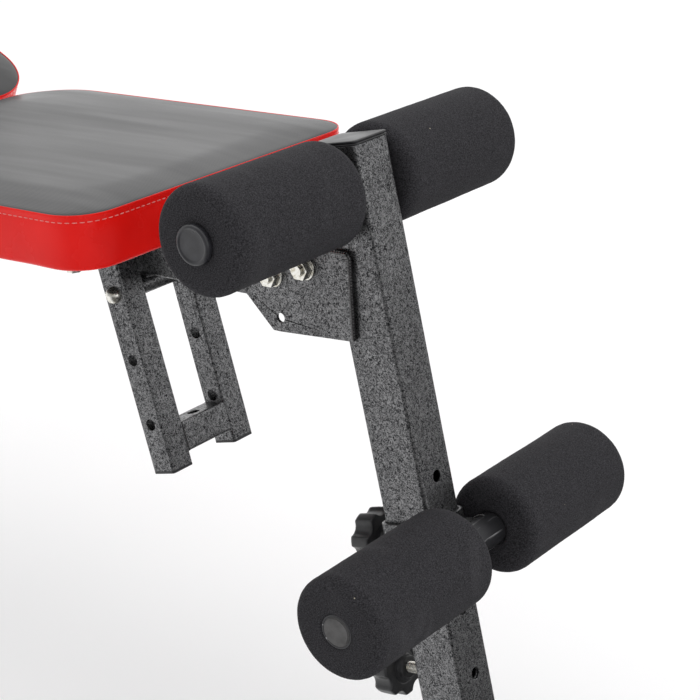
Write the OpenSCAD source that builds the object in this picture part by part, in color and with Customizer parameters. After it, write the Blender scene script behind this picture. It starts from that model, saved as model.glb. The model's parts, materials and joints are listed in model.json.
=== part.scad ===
// Decline sit up bench: a folding tubular frame with a seat, a reclining backrest,
// two pairs of foam leg rollers, a telescoping front leg and a folding rear leg.
// Millimetres, +X towards the foot end, +Z up, origin on the floor below the middle.

/* [Front post] */
// Height of the upper roller axis above the floor
axis_height = 595; // [560:5:610]
// Lean of the front post from the vertical, foot forward
post_lean = 12.6; // [11:0.1:14]
// Width of the post tube across the bench
post_w = 42; // [40:0.5:44]
// Depth of the post tube along the bench
post_d = 47; // [45:0.5:48]
// Length of the post tube below the upper roller axis
post_drop = 470; // [465:1:480]
// Wall of every large tube
wall = 2; // [1.5:0.1:2.5]
// Pitch of all the adjustment holes
hole_pitch = 58.5; // [56:0.5:60]

/* [Foam rollers] */
// Outside diameter of a foam roller
foam_dia = 85; // [80:1:88]
// Length of a foam roller
foam_len = 150; // [140:1:160]
// Rounding of the foam's outer edges
foam_edge = 9.5; // [6:0.5:12]
// Gap between the middle plane and a roller's inner end
foam_gap = 28; // [27.5:0.5:32]
// Diameter of the upper roller bar
upper_bar_dia = 25.4; // [24:0.1:26]
// Diameter of the lower roller bar
lower_bar_dia = 28; // [26:0.5:30]

/* [Roller carriage] */
// Distance down the post from the upper to the lower roller axis
carriage_drop = 297.5; // [295:0.5:300]
// Distance of the lower roller axis in front of the upper one
carriage_reach = 53; // [52:0.5:56]
// Length of the carriage sleeve
sleeve_len = 60; // [56:1:62]

/* [Rail] */
// Rise of the rail towards the foot end
rail_slope = 2.5; // [2:0.1:3]
// Distance of the rear gusset bolt behind the upper roller axis
bolt_back = 62; // [61:0.5:64]
// Distance of the rear gusset bolt below the upper roller axis
bolt_down = 80; // [78:0.5:82]
// Length of the rail behind the rear gusset bolt
rail_back = 868; // [860:1:880]

/* [Seat and backrest] */
// Length of the seat pad
seat_len = 384; // [370:1:390]
// Width of both pads
pad_w = 340; // [325:1:345]
// Thickness of both pads
pad_t = 45; // [42:1:46]
// Length of the backrest pad
back_len = 700; // [660:5:720]
// Angle of the backrest above the rail at rest
back_angle = 27.5; // [26:0.5:29]

/* [Stirrup] */
// Lean of the hanging stirrup from the vertical
stirrup_lean = 15.8; // [14:0.1:17]
// Overall width of the stirrup
stirrup_w = 105; // [104:0.5:108]
// Side of the stirrup's square tubes
stirrup_tube = 25; // [24:0.5:25]

/* [Feet] */
// Length of each foot tube
foot_len = 420; // [400:5:460]
// Lean of the rear leg from the vertical, foot backward
rear_lean = 12; // [10:0.5:14]

/* [Hidden] */
$fn = 64;
// Upper roller bar's place in the post's depth, measured from the rear face
bar_inset = 17;
post_rear = -bar_inset;
post_front = post_d - bar_inset;
post_mid = (post_front + post_rear) / 2;
post_top = 33;
corner_r = 4;
cap_lip = 4;
hole_r = 5;
first_hole = 242.5;
post_holes = [for (i = [0:3]) first_hole + i * hole_pitch];
foam_r = foam_dia / 2;
upper_r = upper_bar_dia / 2;
lower_r = lower_bar_dia / 2;
running = 0.05;
// Sliding parts are this far apart
slip = 0.3;
bar_end = foam_gap + foam_len;

// Carriage sleeve, lined with plastic
liner_t = 1;
sleeve_t = 2.5;
sleeve_gap = slip + liner_t;
sleeve_out = sleeve_gap + sleeve_t;
sleeve_top = 277.5;
knob_u = 301;
sleeve_rear = post_rear - sleeve_out;
sleeve_front = post_front + sleeve_out;
bracket_half_w = 20;

// Star knobs and their studs
knob_lobes = 7;
knob_r = 21;
lobe_r = 6;
knob_t = 20;
stud_r = 5;
weld_nut_r = 9.5;
weld_nut_t = 8;
carriage_stand_off = 9.5;
leg_stand_off = 23;
leg_knob_u = 420;

// Telescoping front leg
leg_gap = 0.4;
leg_w = post_w - 2 * wall - 2 * leg_gap;
leg_d = post_d - 2 * wall - 2 * leg_gap;
leg_top = 335;
foot_side = 45;
foot_cap_t = 2.5;
foot_cap_len = 28;
foot_axis_z = foot_side / 2 + foot_cap_t;
leg_foot_u = (axis_height - foot_axis_z + post_mid * sin(post_lean)) / cos(post_lean);

// Rail and gussets, in the rail's own frame: origin at the rear gusset bolt
rail_half = post_d / 2;
rail_front = 54;
gusset_t = 3;
gusset_y = post_w / 2;
gusset_outline = [[79, -44], [5, -48], [-4, -48], [-38, -13], [-38, 18], [-28, 28], [79, 28]];
bolt_r = 5;
gusset_bolts_at = [[0, 0], [34, 11]];
spare_hole = [4.5, -36];
spare_hole_r = 4;

// Stirrup, hung on a sleeve below the rail
stirrup_x = -155;
stirrup_z = -rail_half - 10;
sleeve_r = 8.5;
stirrup_in = stirrup_w / 2 - stirrup_tube;
stirrup_out = stirrup_w / 2;
stirrup_top = 30;
stirrup_drop = 160;
channel_low = 150;
channel_h = 27;
thin_wall = 1.5;

// Seat, on two flat bearers
bearer_w = 40;
bearer_t = 6;
bearer_half = 148;
seat_foot = -60;
seat_bearers_at = [seat_foot - 52, seat_foot - seat_len + 90];
pad_seat_z = rail_half + bearer_t;
board_t = 12;
board_inset = 7;
screw_y = 134;
screw_r = 3;

// Backrest hinge, in the rail's frame
hinge_x = seat_foot - seat_len - 33;
hinge_z = 13;
arm_side = 25;
arm_in = 26.5;
arm_out = arm_in + arm_side;
back_start = 10;
pad_back_z = arm_side / 2 + bearer_t;
back_bearers_at = [150, 400, 620];
arm_len = 650;
quadrant_t = 4;
quadrant_r = 94;
quadrant_half = 13;
clamp_r = 4;
clamp_z = -12;
clamp_dx = sqrt(quadrant_r * quadrant_r - pow(hinge_z - clamp_z, 2));
clamp_angle = atan2(hinge_z - clamp_z, clamp_dx);
recline_down = 27.5;
recline_up = 10;
slot_r = clamp_r + 0.6;

// Rear leg, between two lugs below the rail
rear_x = -838;
rear_z = -rail_half - 26;
rear_side = 40;
rear_top = 12;
rear_r = 5;
lug_t = 4;

// The rail's origin and the rear pivot, measured from the upper roller axis
function rail_point(x, z) = [
    -bolt_back + x * cos(rail_slope) - z * sin(rail_slope),
    -bolt_down + x * sin(rail_slope) + z * cos(rail_slope)
];
rear_pivot = rail_point(rear_x, rear_z);
rear_drop = (axis_height + rear_pivot[1] - foot_axis_z) / cos(rear_lean);
hinge_point = rail_point(hinge_x, hinge_z);
back_world = back_angle - rail_slope;
back_reach = -hinge_point[0] + (back_start + back_len) * cos(back_world) - pad_back_z * sin(back_world);
front_reach = carriage_reach * cos(post_lean) + carriage_drop * sin(post_lean) + foam_r;
origin_x = (back_reach - front_reach) / 2;

// ---- frames of reference ----

// Upper roller axis as origin, world directions
module at_axis() {
    translate([origin_x, 0, axis_height]) children();
}

// Post frame: local -Z runs down the post, local +X faces the foot end
module in_post() {
    at_axis() rotate([0, -post_lean, 0]) children();
}

// Rail frame: local +X runs up the rail to the foot end
module in_rail() {
    at_axis() translate([-bolt_back, 0, -bolt_down]) rotate([0, -rail_slope, 0]) children();
}

// Stirrup frame: origin on its pivot, local -Z runs down its legs
module in_stirrup() {
    in_rail() translate([stirrup_x, 0, stirrup_z]) rotate([0, rail_slope - stirrup_lean, 0]) children();
}

// Backrest frame: origin on the hinge, local -X runs up the backrest
module in_back() {
    in_rail() translate([hinge_x, 0, hinge_z]) rotate([0, back_angle, 0]) children();
}

// Rear leg frame: origin on its pivot, local -Z runs down the leg
module in_rear_leg() {
    at_axis() translate([rear_pivot[0], 0, rear_pivot[1]]) rotate([0, rear_lean, 0]) children();
}

// ---- shared shapes ----

module round_rect(w, d, r) {
    square([w - 2 * r, d], center = true);
    square([w, d - 2 * r], center = true);
    for (x = [-1, 1], y = [-1, 1])
        translate([x * (w / 2 - r), y * (d / 2 - r)]) circle(r);
}

// Inside outline of the post and rail tubes
module tube_bore() {
    round_rect(post_d - 2 * wall, post_w - 2 * wall, corner_r - wall);
}

// Rectangular tube standing on z = 0
module box_tube(w, d, len, t, r) {
    linear_extrude(len) difference() {
        round_rect(w, d, r);
        round_rect(w - 2 * t, d - 2 * t, max(r - t, 0.5));
    }
}

// Cylinder along Y centred on the middle plane
module rod_y(r, len) {
    rotate([90, 0, 0]) cylinder(r = r, h = len, center = true);
}

// Cylinder along Y from y0 to y1
module span_y(r, y0, y1) {
    translate([0, y0, 0]) rotate([-90, 0, 0]) cylinder(r = r, h = y1 - y0);
}

module round_tube_y(r, t, len) {
    difference() {
        rod_y(r, len);
        rod_y(r - t, len + 2);
    }
}

// Hexagon nut along Y from y0 to y1 with a bore
module nut_y(r, bore, y0, y1) {
    difference() {
        translate([0, y0, 0]) rotate([-90, 0, 0]) cylinder(r = r, h = y1 - y0, $fn = 6);
        span_y(bore, y0 - 1, y1 + 1);
    }
}

// Foam roller along Y from its inner end, with a running bore
module foam(bar_r) {
    rotate([-90, 0, 0]) rotate_extrude() difference() {
        union() {
            square([foam_r - foam_edge, foam_len]);
            translate([0, foam_edge]) square([foam_r, foam_len - 2 * foam_edge]);
            for (y = [foam_edge, foam_len - foam_edge])
                translate([foam_r - foam_edge, y]) circle(foam_edge);
        }
        translate([0, -1]) square([bar_r + running, foam_len + 2]);
    }
}

// Star knob facing +X, its hub's front face on x = 0
module star_knob() {
    rotate([0, -90, 0]) {
        cylinder(r = 10, h = 6);
        translate([0, 0, 5]) linear_extrude(knob_t) {
            circle(knob_r);
            for (i = [0:knob_lobes - 1])
                rotate([0, 0, i * 360 / knob_lobes]) translate([knob_r - 0.5, 0]) circle(lobe_r);
        }
        translate([0, 0, 4 + knob_t]) cylinder(r = 13, h = 4);
    }
}

// Blind socket in the hub for a stud
module hub_socket(r) {
    rotate([0, -90, 0]) translate([0, 0, -1]) cylinder(r = r, h = 19);
}

// Pad blank with rounded corners, from x = -len to 0, standing on z = 0
module pad_plan(len, w, r_foot, r_head) {
    translate([-r_foot, 0]) square([2 * r_foot, w - 2 * r_foot], center = true);
    translate([-len + r_head, 0]) square([2 * r_head, w - 2 * r_head], center = true);
    translate([-len + r_head, -w / 2]) square([len - r_foot - r_head, w]);
    for (y = [-1, 1]) {
        translate([-r_foot, y * (w / 2 - r_foot)]) circle(r_foot);
        translate([-len + r_head, y * (w / 2 - r_head)]) circle(r_head);
    }
}

// Plan of the board that lies inside the pad's rim
module board_plan(len, r_foot, r_head) {
    inset = 2 * board_inset;
    pad_plan(len - inset, pad_w - inset, r_foot - board_inset, r_head - board_inset);
}

module pad(len, r_foot, r_head) {
    difference() {
        linear_extrude(pad_t) pad_plan(len, pad_w, r_foot, r_head);
        translate([-board_inset, 0, -1]) linear_extrude(board_t + 1) board_plan(len, r_foot, r_head);
    }
}

module board(len, r_foot, r_head, screws_at) {
    difference() {
        translate([-board_inset, 0, 0]) linear_extrude(board_t) board_plan(len, r_foot, r_head);
        for (x = screws_at, y = [-1, 1])
            translate([x, y * screw_y, -1]) cylinder(r = screw_r, h = board_t - 1);
    }
}

// Flat bearer across the bench, drilled for two screws, standing on z = 0
module bearer() {
    difference() {
        translate([-bearer_w / 2, -bearer_half, 0]) cube([bearer_w, 2 * bearer_half, bearer_t]);
        for (y = [-1, 1])
            translate([0, y * screw_y, -1]) cylinder(r = screw_r, h = bearer_t + 2);
    }
}

// Pad screw pointing up: washer and head below z = 0, shank above
module pad_screw() {
    translate([0, 0, -1.5]) cylinder(r = 8, h = 1.5);
    translate([0, 0, -6]) cylinder(r = 6, h = 4.5, $fn = 6);
    cylinder(r = screw_r, h = bearer_t + board_t - 2);
}

// Foot tube along Y with its axis at the origin
module foot_tube() {
    translate([0, foot_len / 2, 0]) rotate([90, 0, 0])
        box_tube(foot_side, foot_side, foot_len, wall, corner_r);
}

// Rubber shoe over the end of a foot tube
module foot_cap() {
    side = foot_side + 2 * foot_cap_t;
    translate([0, foot_len / 2 - foot_cap_len, 0]) rotate([-90, 0, 0]) difference() {
        linear_extrude(foot_cap_len + foot_cap_t) round_rect(side, side, corner_r + foot_cap_t);
        translate([0, 0, -1]) linear_extrude(foot_cap_len + 1) round_rect(foot_side, foot_side, corner_r);
    }
}

module foot_caps() {
    for (m = [0, 1]) mirror([0, m, 0]) foot_cap();
}

// ---- front post ----

module post_tube() {
    color("dimgray") in_post() difference() {
        translate([post_mid, 0, -post_drop])
            box_tube(post_d, post_w, post_drop + post_top, wall, corner_r);
        rod_y(upper_r, post_w + 2);
        for (u = post_holes)
            translate([post_front - wall - 1, 0, -u]) rotate([0, 90, 0])
                cylinder(r = hole_r, h = wall + 3);
        translate([post_rear - 1, 0, -leg_knob_u]) rotate([0, 90, 0])
            cylinder(r = stud_r + running, h = wall + 2);
    }
}

module post_cap() {
    color("black") in_post() translate([post_mid, 0, post_top]) {
        linear_extrude(cap_lip) round_rect(post_d + 0.8, post_w + 0.8, corner_r);
        translate([0, 0, -14]) linear_extrude(14) tube_bore();
    }
}

module gusset_blank() {
    rotate([90, 0, 0]) linear_extrude(gusset_t) polygon(gusset_outline);
}

module gusset() {
    difference() {
        gusset_blank();
        for (p = gusset_bolts_at)
            translate([p[0], 0, p[1]]) rod_y(bolt_r, 20);
        translate([spare_hole[0], 0, spare_hole[1]]) rod_y(spare_hole_r, 20);
    }
}

module gusset_near() {
    color("gray") in_rail() translate([0, -gusset_y, 0]) gusset();
}

module gusset_far() {
    color("gray") in_rail() translate([0, gusset_y + gusset_t, 0]) gusset();
}

// Fillet beads down the gussets' front edges and round their top corners
module gusset_welds() {
    bead = 2.2;
    front = gusset_outline[0][0];
    low = gusset_outline[0][1] + 1;
    high = gusset_outline[6][1];
    color("black") in_rail() for (m = [0, 1]) mirror([0, m, 0]) difference() {
        translate([front, -gusset_y - bead, 0]) {
            translate([0, 0, low]) cylinder(r = bead, h = high - low);
            translate([0, 0, high]) sphere(bead);
            translate([0, 0, high]) rotate([0, -90, 0]) cylinder(r = bead, h = 20);
        }
        translate([0, -gusset_y, 0]) gusset_blank();
    }
}

module gusset_bolts() {
    reach = gusset_y + gusset_t;
    color("silver") in_rail() for (p = gusset_bolts_at) translate([p[0], 0, p[1]]) {
        span_y(bolt_r, -reach - 12, reach + 1.5);
        span_y(10, reach, reach + 1.5);
        translate([0, reach + 1.5, 0]) rotate([-90, 0, 0]) cylinder(r = 9, h = 6, $fn = 6);
    }
}

module gusset_nuts() {
    reach = gusset_y + gusset_t;
    color("silver") in_rail() for (p = gusset_bolts_at) translate([p[0], 0, p[1]]) {
        difference() {
            span_y(10, -reach - 1.5, -reach);
            rod_y(bolt_r, 200);
        }
        nut_y(9, bolt_r, -reach - 9, -reach - 1.5);
    }
}

// ---- rail ----

module rail_tube() {
    color("dimgray") in_rail() difference() {
        translate([-rail_back, 0, 0]) rotate([0, 90, 0])
            box_tube(post_d, post_w, rail_back + rail_front, wall, corner_r);
        for (p = gusset_bolts_at)
            translate([p[0], 0, p[1]]) rod_y(bolt_r, 60);
        translate([hinge_x, 0, hinge_z]) rod_y(bolt_r + running, 60);
        translate([hinge_x - clamp_dx, 0, clamp_z]) rod_y(clamp_r + running, 60);
    }
}

module rail_plug() {
    rotate([0, 90, 0]) {
        linear_extrude(3) round_rect(post_d, post_w, corner_r);
        translate([0, 0, -14]) linear_extrude(14) tube_bore();
    }
}

module rail_plugs() {
    color("black") in_rail() translate([-rail_back, 0, 0]) mirror([1, 0, 0]) rail_plug();
}

// ---- rollers ----

module upper_bar() {
    color("dimgray") in_post() round_tube_y(upper_r, wall, 2 * bar_end);
}

module upper_cap() {
    rotate([-90, 0, 0]) rotate_extrude() {
        square([15.5, 4.5]);
        translate([0, 4.5]) square([14, 1.5]);
        translate([14, 4.5]) circle(1.5);
        translate([0, -16]) square([upper_r - wall, 17]);
    }
}

module upper_cap_near() {
    color("black") in_post() mirror([0, 1, 0]) translate([0, bar_end + slip, 0]) upper_cap();
}

module upper_cap_far() {
    color("black") in_post() translate([0, bar_end + slip, 0]) upper_cap();
}

module foam_upper_near() {
    color("#202020") in_post() mirror([0, 1, 0]) translate([0, foam_gap, 0]) foam(upper_r);
}

module foam_upper_far() {
    color("#202020") in_post() translate([0, foam_gap, 0]) foam(upper_r);
}

module at_lower_axis() {
    in_post() translate([carriage_reach, 0, -carriage_drop]) children();
}

module foam_lower_near() {
    color("#202020") at_lower_axis() mirror([0, 1, 0]) translate([0, foam_gap, 0]) foam(lower_r);
}

module foam_lower_far() {
    color("#202020") at_lower_axis() translate([0, foam_gap, 0]) foam(lower_r);
}

// ---- roller carriage ----

// Tube round the post whose outside stands off by out, with wall t
module sleeve_ring(out, t) {
    translate([post_mid, 0, -sleeve_top - sleeve_len])
        box_tube(post_d + 2 * out, post_w + 2 * out, sleeve_len, t, corner_r + out);
}

module carriage_sleeve() {
    color("dimgray") in_post() difference() {
        sleeve_ring(sleeve_out, sleeve_t);
        translate([sleeve_rear - 1, 0, -knob_u]) rotate([0, 90, 0])
            cylinder(r = stud_r + running, h = sleeve_t + 2);
    }
}

module carriage_liner() {
    color("black") in_post() difference() {
        sleeve_ring(sleeve_gap, liner_t);
        translate([sleeve_rear, 0, -knob_u]) rotate([0, 90, 0]) cylinder(r = stud_r + 0.5, h = 10);
    }
}

// Hexagon nut along X behind a wall whose rear face is at x
module weld_nut(x) {
    translate([x, 0, 0]) rotate([0, -90, 0]) difference() {
        cylinder(r = weld_nut_r, h = weld_nut_t, $fn = 6);
        translate([0, 0, -1]) cylinder(r = stud_r + running, h = weld_nut_t + 2);
    }
}

module carriage_nut() {
    color("silver") in_post() translate([0, 0, -knob_u]) weld_nut(sleeve_rear);
}

// Saddle that carries the lower bar in front of the sleeve
module lower_bracket() {
    color("dimgray") in_post() difference() {
        translate([0, bracket_half_w, 0]) rotate([90, 0, 0]) linear_extrude(2 * bracket_half_w) polygon([
            [sleeve_front, -carriage_drop + 12],
            [carriage_reach, -carriage_drop + 12],
            [carriage_reach, -carriage_drop - 17],
            [sleeve_front + 6, -carriage_drop - 27],
            [sleeve_front, -carriage_drop - 27]
        ]);
        translate([carriage_reach, 0, -carriage_drop]) rod_y(lower_r, 100);
    }
}

module lower_bar() {
    color("dimgray") at_lower_axis() round_tube_y(lower_r, wall, 2 * bar_end);
}

module lower_plug() {
    rotate([-90, 0, 0]) rotate_extrude() {
        translate([0, -15]) square([lower_r - wall, 15]);
        square([lower_r - wall - 1, 1]);
    }
}

module lower_plug_near() {
    color("gray") at_lower_axis() mirror([0, 1, 0]) translate([0, bar_end, 0]) lower_plug();
}

module lower_plug_far() {
    color("gray") at_lower_axis() translate([0, bar_end, 0]) lower_plug();
}

// Knob with its hub's front face at x, and its stud; the tip stops just short of face
module knob_at(x) {
    difference() {
        translate([x, 0, 0]) star_knob();
        translate([x, 0, 0]) hub_socket(stud_r);
    }
}

module stud_at(x, face) {
    translate([x - 18, 0, 0]) rotate([0, 90, 0])
        cylinder(r = stud_r, h = 18 + face - x - slip);
}

module carriage_knob() {
    color("#181818") in_post() translate([0, 0, -knob_u]) knob_at(sleeve_rear - carriage_stand_off);
}

module carriage_stud() {
    color("silver") in_post() translate([0, 0, -knob_u]) stud_at(sleeve_rear - carriage_stand_off, post_rear);
}

// ---- front leg ----

module leg_nut() {
    color("silver") in_post() translate([0, 0, -leg_knob_u]) weld_nut(post_rear);
}

module leg_knob() {
    color("#181818") in_post() translate([0, 0, -leg_knob_u]) knob_at(post_rear - leg_stand_off);
}

module leg_stud() {
    color("silver") in_post() translate([0, 0, -leg_knob_u])
        stud_at(post_rear - leg_stand_off, post_rear + wall + leg_gap);
}

// Inner tube, mitred where it meets the foot
module front_leg() {
    foot_top = foot_axis_z + foot_side / 2;
    color("dimgray") difference() {
        in_post() difference() {
            translate([post_mid, 0, -leg_foot_u])
                box_tube(leg_d, leg_w, leg_foot_u - leg_top, wall, corner_r - wall);
            for (u = [for (v = post_holes) if (v > leg_top + 10) v])
                translate([post_mid, 0, -u]) rotate([0, 90, 0]) cylinder(r = hole_r, h = leg_d);
        }
        translate([origin_x, -leg_w, 0]) cube([300, 2 * leg_w, foot_top]);
    }
}

module at_front_foot() {
    x = post_mid * cos(post_lean) + leg_foot_u * sin(post_lean);
    translate([origin_x + x, 0, foot_axis_z]) children();
}

module front_foot() {
    color("dimgray") at_front_foot() foot_tube();
}

module front_foot_caps() {
    color("black") at_front_foot() foot_caps();
}

// ---- stirrup ----

module hanger_sleeve() {
    color("dimgray") in_rail() translate([stirrup_x, 0, stirrup_z]) difference() {
        union() {
            rod_y(sleeve_r, 2 * (stirrup_in - slip));
            translate([-6, -18, 0]) cube([12, 36, -rail_half - stirrup_z]);
        }
        rod_y(bolt_r + running, 200);
    }
}

module stirrup_leg() {
    difference() {
        translate([0, (stirrup_in + stirrup_out) / 2, -stirrup_drop])
            box_tube(stirrup_tube, stirrup_tube, stirrup_drop + stirrup_top, thin_wall, 2.5);
        for (i = [1, 2])
            translate([0, 0, -i * hole_pitch]) span_y(hole_r, stirrup_in - 1, stirrup_out + 1);
        span_y(bolt_r, stirrup_in - 1, stirrup_out + 1);
    }
}

module stirrup_leg_near() {
    color("dimgray") in_stirrup() mirror([0, 1, 0]) stirrup_leg();
}

module stirrup_leg_far() {
    color("dimgray") in_stirrup() stirrup_leg();
}

module stirrup_channel() {
    color("dimgray") in_stirrup() difference() {
        translate([0, stirrup_in, -channel_low + channel_h / 2]) rotate([90, 0, 0])
            box_tube(stirrup_tube, channel_h, 2 * stirrup_in, thin_wall, 2.5);
        translate([0, 0, -channel_low - 1]) cylinder(r = 5.5, h = channel_h + 2);
    }
}

module stirrup_caps() {
    inner = stirrup_tube - 2 * thin_wall;
    color("black") in_stirrup() for (m = [0, 1]) mirror([0, m, 0])
        translate([0, (stirrup_in + stirrup_out) / 2, 0]) {
            for (z = [-stirrup_drop - 2, stirrup_top])
                translate([0, 0, z]) linear_extrude(2) round_rect(stirrup_tube, stirrup_tube, 2.5);
            for (z = [-stirrup_drop, stirrup_top - 8])
                translate([0, 0, z]) linear_extrude(8) round_rect(inner, inner, 1);
        }
}

module stirrup_bolt() {
    color("silver") in_stirrup() {
        span_y(bolt_r, -stirrup_out - 1, stirrup_out + 11);
        intersection() {
            translate([0, -stirrup_out, 0]) sphere(7.5);
            span_y(8, -stirrup_out - 8, -stirrup_out);
        }
    }
}

module stirrup_nut() {
    color("silver") in_stirrup() nut_y(9, bolt_r, stirrup_out, stirrup_out + 9);
}

// ---- seat ----

module seat_bearers() {
    color("dimgray") in_rail() for (x = seat_bearers_at) translate([x, 0, rail_half]) bearer();
}

module seat_board() {
    color("tan") in_rail() translate([seat_foot, 0, pad_seat_z])
        board(seat_len, 36, 62, [for (x = seat_bearers_at) x - seat_foot]);
}

module seat_pad() {
    color("crimson") in_rail() translate([seat_foot, 0, pad_seat_z]) pad(seat_len, 36, 62);
}

module seat_screws() {
    color("silver") in_rail() for (x = seat_bearers_at, y = [-1, 1])
        translate([x, y * screw_y, rail_half]) pad_screw();
}

// ---- backrest ----

module hinge_bolt() {
    color("silver") in_rail() translate([hinge_x, 0, hinge_z]) {
        span_y(bolt_r, -arm_out - 11, arm_out + 1);
        translate([0, arm_out, 0]) rotate([-90, 0, 0]) cylinder(r = 9, h = 6, $fn = 6);
    }
}

module hinge_nut() {
    color("silver") in_rail() translate([hinge_x, 0, hinge_z]) nut_y(9, bolt_r, -arm_out - 9, -arm_out);
}

// Square tube beside the rail, from just past the hinge up under the pad
module back_arm() {
    difference() {
        translate([-arm_len, (arm_in + arm_out) / 2, 0]) rotate([0, 90, 0])
            box_tube(arm_side, arm_side, arm_len + 16, thin_wall, 2.5);
        span_y(bolt_r, arm_in - 1, arm_out + 1);
    }
}

module back_arm_near() {
    color("dimgray") in_back() mirror([0, 1, 0]) back_arm();
}

module back_arm_far() {
    color("dimgray") in_back() back_arm();
}

module back_arm_plugs() {
    inner = arm_side - 2 * thin_wall;
    color("black") in_back() for (m = [0, 1]) mirror([0, m, 0])
        translate([0, (arm_in + arm_out) / 2, 0]) rotate([0, 90, 0]) {
            translate([0, 0, -arm_len - 2]) linear_extrude(2) round_rect(arm_side, arm_side, 2.5);
            translate([0, 0, -arm_len]) linear_extrude(8) round_rect(inner, inner, 1);
            translate([0, 0, 16]) linear_extrude(2) round_rect(arm_side, arm_side, 2.5);
            translate([0, 0, 8]) linear_extrude(8) round_rect(inner, inner, 1);
        }
}

module back_bearers() {
    color("dimgray") in_back() for (x = back_bearers_at) translate([-x, 0, arm_side / 2]) bearer();
}

module back_board() {
    color("tan") in_back() translate([-back_start, 0, pad_back_z])
        board(back_len, 56, 56, [for (x = back_bearers_at) back_start - x]);
}

module back_pad() {
    color("crimson") in_back() translate([-back_start, 0, pad_back_z]) pad(back_len, 56, 56);
}

module back_screws() {
    color("silver") in_back() for (x = back_bearers_at, y = [-1, 1])
        translate([-x, y * screw_y, arm_side / 2]) pad_screw();
}

// Sector of a ring about the origin in the XZ plane, from angle a0 to a1 below -X
module ring_sector(r, half, a0, a1, t) {
    rotate([90, 0, 0]) linear_extrude(t) {
        intersection() {
            difference() {
                circle(r + half);
                circle(r - half);
            }
            polygon([[0, 0], for (a = [a0 : (a1 - a0) / 4 : a1]) 2 * r * [-cos(a), -sin(a)]]);
        }
        for (a = [a0, a1]) translate(r * [-cos(a), -sin(a)]) circle(half);
    }
}

// Slotted plates on the arms' inner faces that lock the recline angle
module quadrants() {
    a0 = clamp_angle + back_angle - recline_down;
    a1 = clamp_angle + back_angle + recline_up;
    color("gray") in_back() for (side = [-arm_in + quadrant_t, arm_in]) translate([0, side, 0]) difference() {
        union() {
            ring_sector(quadrant_r, quadrant_half, a0 - 1, a1 + 1, quadrant_t);
            rotate([90, 0, 0]) linear_extrude(quadrant_t) polygon([
                [-quadrant_r - quadrant_half + 4, 10], [-quadrant_r - 60, 10],
                [-quadrant_r - 60, -10], [-quadrant_r * cos(20), -quadrant_r * sin(20)], [-60, 10]
            ]);
        }
        translate([0, 1, 0]) ring_sector(quadrant_r, slot_r, a0 - 1, a1 + 1, quadrant_t + 2);
    }
}

module at_clamp() {
    in_rail() translate([hinge_x - clamp_dx, 0, clamp_z]) children();
}

module clamp_knob() {
    color("#181818") at_clamp() rotate([0, 0, 90]) difference() {
        translate([-arm_out - 9, 0, 0]) star_knob();
        translate([-arm_out - 9, 0, 0]) hub_socket(clamp_r);
    }
}

module clamp_stud() {
    color("silver") at_clamp() span_y(clamp_r, -arm_out - 27, arm_in + 12);
}

module clamp_nut() {
    color("silver") at_clamp() nut_y(8, clamp_r + running, arm_in + slip, arm_in + 8);
}

// ---- rear leg ----

// Two side plates under the rail, joined behind the leg by a web that is its stop
module rear_lugs() {
    lug = [for (p = [[32, 14], [-28, 14], [-28, -40], [18, -40], [32, -20]]) [p[0], p[1] + rear_z / 2]];
    web_t = 2.5;
    web_h = 12;
    color("gray") in_rail() translate([rear_x, 0, 0]) difference() {
        union() {
            for (y = [-post_w / 2, post_w / 2 + lug_t]) translate([0, y, 0])
                rotate([90, 0, 0]) linear_extrude(lug_t) polygon(lug);
            translate([lug[2][0], -post_w / 2, lug[2][1]]) cube([web_t, post_w, web_h]);
        }
        translate([0, 0, rear_z]) rod_y(rear_r, 100);
    }
}

module rear_bolt() {
    reach = post_w / 2 + lug_t;
    color("silver") in_rail() translate([rear_x, 0, rear_z]) {
        span_y(rear_r, -reach, reach + 10);
        translate([0, -reach - 6, 0]) rotate([-90, 0, 0]) cylinder(r = 9, h = 6, $fn = 6);
        translate([0, reach, 0]) rotate([-90, 0, 0]) cylinder(r = 9, h = 8, $fn = 6);
    }
}

module rear_leg() {
    foot_top = foot_axis_z + foot_side / 2;
    color("dimgray") difference() {
        in_rear_leg() difference() {
            translate([0, 0, -rear_drop])
                box_tube(rear_side, rear_side, rear_drop + rear_top, wall, corner_r);
            rod_y(rear_r + running, 100);
        }
        translate([-1000, -rear_side, 0]) cube([2000, 2 * rear_side, foot_top]);
    }
}

module at_rear_foot() {
    in_rear_leg() translate([0, 0, -rear_drop]) rotate([0, -rear_lean, 0]) children();
}

module rear_foot() {
    color("dimgray") at_rear_foot() foot_tube();
}

module rear_foot_caps() {
    color("black") at_rear_foot() foot_caps();
}

post_tube();
post_cap();
gusset_near();
gusset_far();
gusset_welds();
gusset_bolts();
gusset_nuts();
rail_tube();
rail_plugs();
upper_bar();
upper_cap_near();
upper_cap_far();
foam_upper_near();
foam_upper_far();
foam_lower_near();
foam_lower_far();
carriage_sleeve();
carriage_liner();
carriage_nut();
lower_bracket();
lower_bar();
lower_plug_near();
lower_plug_far();
carriage_knob();
carriage_stud();
leg_nut();
leg_knob();
leg_stud();
front_leg();
front_foot();
front_foot_caps();
hanger_sleeve();
stirrup_leg_near();
stirrup_leg_far();
stirrup_channel();
stirrup_caps();
stirrup_bolt();
stirrup_nut();
seat_bearers();
seat_board();
seat_pad();
seat_screws();
hinge_bolt();
hinge_nut();
back_arm_near();
back_arm_far();
back_arm_plugs();
back_bearers();
back_board();
back_pad();
back_screws();
quadrants();
clamp_knob();
clamp_stud();
clamp_nut();
rear_lugs();
rear_bolt();
rear_leg();
rear_foot();
rear_foot_caps();
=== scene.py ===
import json
import math

import bmesh
import bpy
from mathutils import Matrix, Vector, noise


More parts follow.
